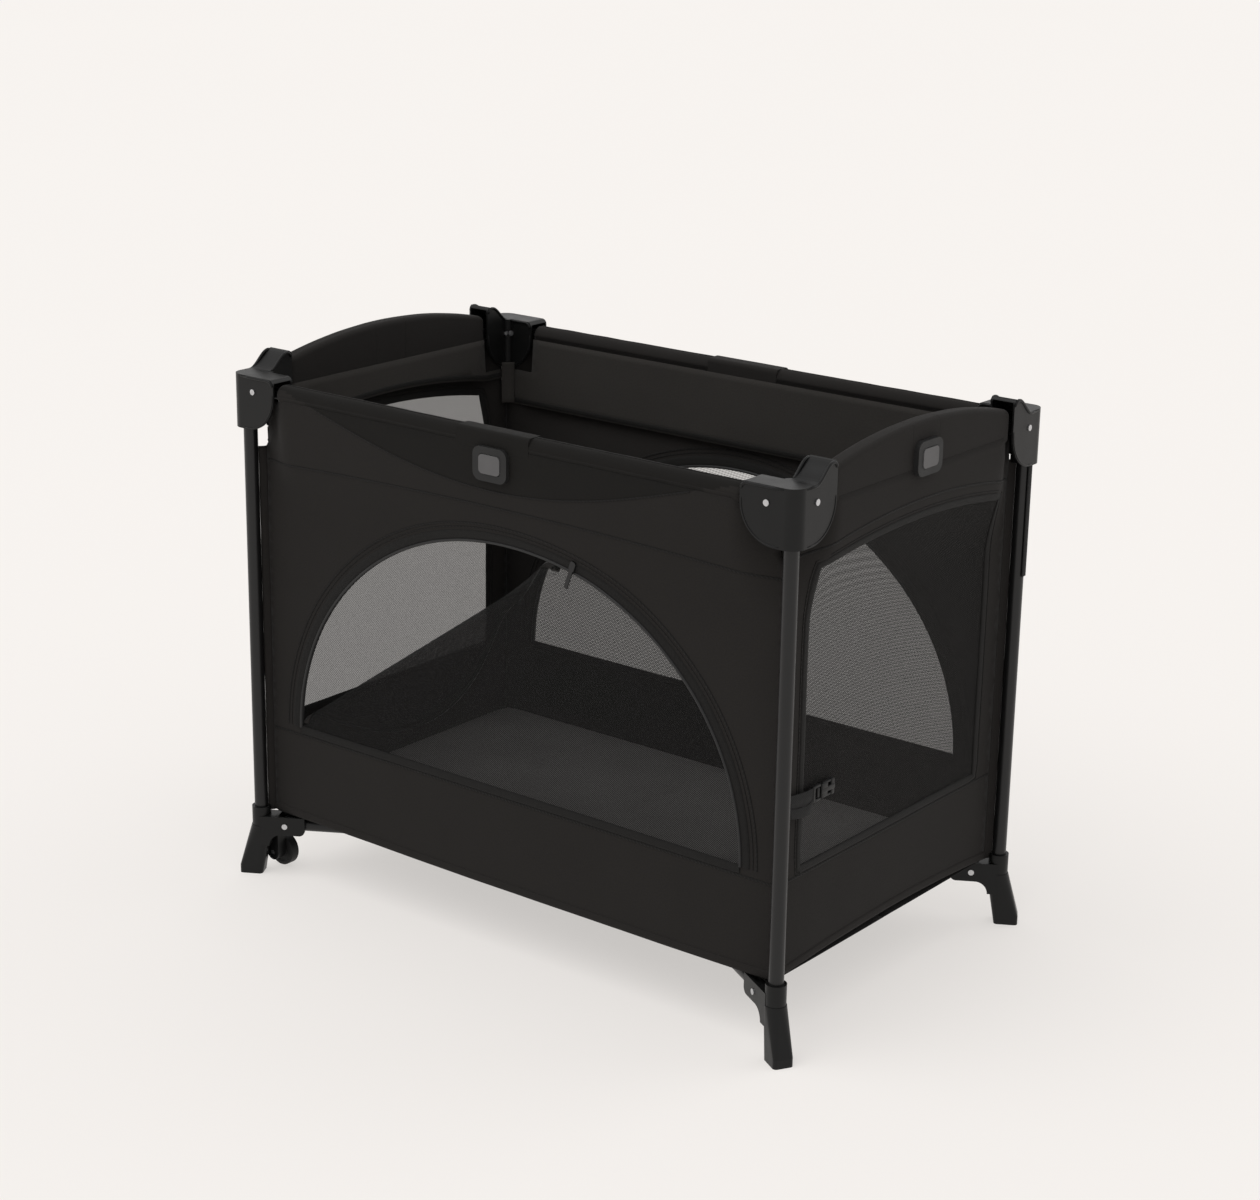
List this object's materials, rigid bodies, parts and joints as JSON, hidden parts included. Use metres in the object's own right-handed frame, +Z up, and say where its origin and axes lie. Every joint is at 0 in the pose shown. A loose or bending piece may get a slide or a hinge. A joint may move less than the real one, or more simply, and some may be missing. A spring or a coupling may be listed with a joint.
{
  "type": "folding playpen",
  "caption": "Rectangular folding playpen with fabric and mesh walls on corner posts, a zipped side door, latched top rails that drop to fold, a centre hub, wheels and a lift-out mattress.",
  "frame": {"origin": "on the floor under the centre of the four posts", "axes": "+X along the long side away from the wheels, -Y towards the door wall, +Z up"},
  "size_m": [0.9956, 0.605, 0.7914],
  "materials": {
    "powder_coat": "satin black powder coat on steel tube",
    "black_plastic": "fine-grained black moulding",
    "steel": "plated rivet heads",
    "shell_fabric": "plain woven black polyester",
    "floor_fabric": "coated black fabric",
    "webbing": "woven black webbing",
    "mesh": "open black knitted mesh",
    "zip": "dark painted slider",
    "button_grey": "satin grey moulding",
    "wheel_plastic": "hard black moulding",
    "mattress_fabric": "dark grey knitted cover",
    "board": "brown hardboard"
  },
  "bodies": {
    "post_fl": {"post_tube_fl": "powder_coat", "foot_fl": "black_plastic", "bracket_fl": "black_plastic", "rivets_fl": "steel", "wall_left": "shell_fabric"},
    "base_fl": {"base_tube_fl": "powder_coat"},
    "post_fr": {"post_tube_fr": "powder_coat", "foot_fr": "black_plastic", "bracket_fr": "black_plastic", "rivets_fr": "steel", "wall_front": "shell_fabric", "door_panel": "mesh", "zip_slider": "zip", "tie_buckle": "black_plastic"},
    "base_fr": {"base_tube_fr": "powder_coat"},
    "post_br": {"post_tube_br": "powder_coat", "foot_br": "black_plastic", "bracket_br": "black_plastic", "rivets_br": "steel", "wall_right": "shell_fabric"},
    "base_br": {"base_tube_br": "powder_coat"},
    "post_bl": {"post_tube_bl": "powder_coat", "foot_bl": "black_plastic", "bracket_bl": "black_plastic", "rivets_bl": "steel", "wall_back": "shell_fabric"},
    "base_bl": {"base_tube_bl": "powder_coat"},
    "hub": {"hub_plate": "black_plastic", "hub_cap": "black_plastic", "hub_pins": "steel", "pull_strap": "webbing", "floor_panel": "floor_fabric"},
    "mattress": {"mattress_pad": "mattress_fabric", "mattress_boards": "board"},
    "rail_front_l": {"rail_front_l": "powder_coat", "padding_front_l": "shell_fabric"},
    "rail_front_r": {"rail_front_r": "powder_coat", "padding_front_r": "shell_fabric"},
    "rail_back_r": {"rail_back_r": "powder_coat", "padding_back_r": "shell_fabric"},
    "rail_back_l": {"rail_back_l": "powder_coat", "padding_back_l": "shell_fabric"},
    "rail_right_f": {"rail_right_f": "powder_coat", "padding_right_f": "shell_fabric"},
    "rail_right_b": {"rail_right_b": "powder_coat", "padding_right_b": "shell_fabric"},
    "rail_left_f": {"rail_left_f": "powder_coat", "padding_left_f": "shell_fabric"},
    "rail_left_b": {"rail_left_b": "powder_coat", "padding_left_b": "shell_fabric"},
    "latch_front": {"latch_front": "black_plastic"},
    "button_front": {"button_front": "button_grey"},
    "latch_right": {"latch_right": "black_plastic"},
    "button_right": {"button_right": "button_grey"},
    "latch_back": {"latch_back": "black_plastic"},
    "button_back": {"button_back": "button_grey"},
    "latch_left": {"latch_left": "black_plastic"},
    "button_left": {"button_left": "button_grey"},
    "wheel_fl": {"wheel_fl": "wheel_plastic"},
    "wheel_bl": {"wheel_bl": "wheel_plastic"}
  },
  "joints": [
    {"name": "fold", "type": "hinge", "parent": "post_fl", "child": "base_fl", "pos_m": [-0.43232, -0.2566, 0.078], "axis": [0.5104, -0.8599, 0], "range_deg": [0, 82], "deforming": ["wall_front", "door_panel", "wall_back", "wall_right", "wall_left", "floor_panel", "padding_left_f", "padding_left_b", "padding_right_f", "padding_right_b", "zip_slider", "mattress_pad", "mattress_boards"]},
    {"name": "hub_level", "type": "hinge", "parent": "base_fl", "child": "hub", "pos_m": [-0.0387, -0.02297, 0.078], "axis": [-0.5104, 0.8599, 0], "range_deg": [0, 82]},
    {"name": "base_fr_tilt", "type": "hinge", "parent": "hub", "child": "base_fr", "pos_m": [0.0387, -0.02297, 0.078], "axis": [0.5104, 0.8599, 0], "range_deg": [0, 82]},
    {"name": "post_fr_level", "type": "hinge", "parent": "base_fr", "child": "post_fr", "pos_m": [0.43232, -0.2566, 0.078], "axis": [-0.5104, -0.8599, 0], "range_deg": [0, 82]},
    {"name": "base_br_tilt", "type": "hinge", "parent": "hub", "child": "base_br", "pos_m": [0.0387, 0.02297, 0.078], "axis": [-0.5104, 0.8599, 0], "range_deg": [0, 82]},
    {"name": "post_br_level", "type": "hinge", "parent": "base_br", "child": "post_br", "pos_m": [0.43232, 0.2566, 0.078], "axis": [0.5104, -0.8599, 0], "range_deg": [0, 82]},
    {"name": "base_bl_tilt", "type": "hinge", "parent": "hub", "child": "base_bl", "pos_m": [-0.0387, 0.02297, 0.078], "axis": [-0.5104, -0.8599, 0], "range_deg": [0, 82]},
    {"name": "post_bl_level", "type": "hinge", "parent": "base_bl", "child": "post_bl", "pos_m": [-0.43232, 0.2566, 0.078], "axis": [0.5104, 0.8599, 0], "range_deg": [0, 82]},
    {"name": "rail_front_l_drop", "type": "hinge", "parent": "post_fl", "child": "rail_front_l", "pos_m": [-0.439, -0.276, 0.736], "axis": [0, 1, 0], "range_deg": [0, 82]},
    {"name": "rail_front_r_drop", "type": "hinge", "parent": "post_fr", "child": "rail_front_r", "pos_m": [0.439, -0.276, 0.736], "axis": [0, -1, 0], "range_deg": [0, 82]},
    {"name": "rail_back_r_drop", "type": "hinge", "parent": "post_br", "child": "rail_back_r", "pos_m": [0.439, 0.276, 0.736], "axis": [0, -1, 0], "range_deg": [0, 82]},
    {"name": "rail_back_l_drop", "type": "hinge", "parent": "post_bl", "child": "rail_back_l", "pos_m": [-0.439, 0.276, 0.736], "axis": [0, 1, 0], "range_deg": [0, 82]},
    {"name": "rail_right_f_drop", "type": "hinge", "parent": "post_fr", "child": "rail_right_f", "pos_m": [0.465, -0.2525, 0.736], "axis": [-1, 0, 0], "range_deg": [0, 82]},
    {"name": "rail_right_b_drop", "type": "hinge", "parent": "post_br", "child": "rail_right_b", "pos_m": [0.465, 0.2525, 0.736], "axis": [1, 0, 0], "range_deg": [0, 82]},
    {"name": "rail_left_f_drop", "type": "hinge", "parent": "post_fl", "child": "rail_left_f", "pos_m": [-0.465, -0.2525, 0.736], "axis": [-1, 0, 0], "range_deg": [0, 82]},
    {"name": "rail_left_b_drop", "type": "hinge", "parent": "post_bl", "child": "rail_left_b", "pos_m": [-0.465, 0.2525, 0.736], "axis": [1, 0, 0], "range_deg": [0, 82]},
    {"name": "latch_front_level", "type": "hinge", "parent": "rail_front_l", "child": "latch_front", "pos_m": [-0.04537, -0.276, 0.736], "axis": [0, -1, 0], "range_deg": [0, 82]},
    {"name": "button_front_press", "type": "slide", "parent": "latch_front", "child": "button_front", "axis": [0, 1, 0], "range_m": [0, 0.004], "stiffness_N_per_m": 500},
    {"name": "latch_right_level", "type": "hinge", "parent": "rail_right_f", "child": "latch_right", "pos_m": [0.465, -0.01886, 0.736], "axis": [1, 0, 0], "range_deg": [0, 82]},
    {"name": "button_right_press", "type": "slide", "parent": "latch_right", "child": "button_right", "axis": [-1, 0, 0], "range_m": [0, 0.004], "stiffness_N_per_m": 500},
    {"name": "latch_back_level", "type": "hinge", "parent": "rail_back_r", "child": "latch_back", "pos_m": [0.04537, 0.276, 0.736], "axis": [0, 1, 0], "range_deg": [0, 82]},
    {"name": "button_back_press", "type": "slide", "parent": "latch_back", "child": "button_back", "axis": [0, -1, 0], "range_m": [0, 0.004], "stiffness_N_per_m": 500},
    {"name": "latch_left_level", "type": "hinge", "parent": "rail_left_f", "child": "latch_left", "pos_m": [-0.465, -0.01886, 0.736], "axis": [1, 0, 0], "range_deg": [0, 82]},
    {"name": "button_left_press", "type": "slide", "parent": "latch_left", "child": "button_left", "axis": [1, 0, 0], "range_m": [0, 0.004], "stiffness_N_per_m": 500},
    {"name": "mattress_lift", "type": "slide", "parent": "hub", "child": "mattress", "axis": [0, 0, 1], "range_m": [0, 0.26]},
    {"name": "wheel_fl_spin", "type": "hinge", "parent": "post_fl", "child": "wheel_fl", "pos_m": [-0.457, -0.24, 0.0265], "axis": [0, 1, 0], "continuous": true},
    {"name": "wheel_bl_spin", "type": "hinge", "parent": "post_bl", "child": "wheel_bl", "pos_m": [-0.457, 0.24, 0.0265], "axis": [0, 1, 0], "continuous": true}
  ],
  "couplings": [
    {"joint": "hub_level", "follows": "fold", "ratio": 1},
    {"joint": "base_fr_tilt", "follows": "fold", "ratio": 1},
    {"joint": "post_fr_level", "follows": "fold", "ratio": 1},
    {"joint": "base_br_tilt", "follows": "fold", "ratio": 1},
    {"joint": "post_br_level", "follows": "fold", "ratio": 1},
    {"joint": "base_bl_tilt", "follows": "fold", "ratio": 1},
    {"joint": "post_bl_level", "follows": "fold", "ratio": 1},
    {"joint": "rail_front_l_drop", "follows": "fold", "ratio": 1},
    {"joint": "rail_front_r_drop", "follows": "fold", "ratio": 1},
    {"joint": "rail_back_r_drop", "follows": "fold", "ratio": 1},
    {"joint": "rail_back_l_drop", "follows": "fold", "ratio": 1},
    {"joint": "rail_right_f_drop", "follows": "fold", "ratio": 1},
    {"joint": "rail_right_b_drop", "follows": "fold", "ratio": 1},
    {"joint": "rail_left_f_drop", "follows": "fold", "ratio": 1},
    {"joint": "rail_left_b_drop", "follows": "fold", "ratio": 1},
    {"joint": "latch_front_level", "follows": "fold", "ratio": 1},
    {"joint": "latch_right_level", "follows": "fold", "ratio": 1},
    {"joint": "latch_back_level", "follows": "fold", "ratio": 1},
    {"joint": "latch_left_level", "follows": "fold", "ratio": 1},
    {"joint": "mattress_lift", "follows": "fold", "m_per_rad": 0.18167}
  ]
}
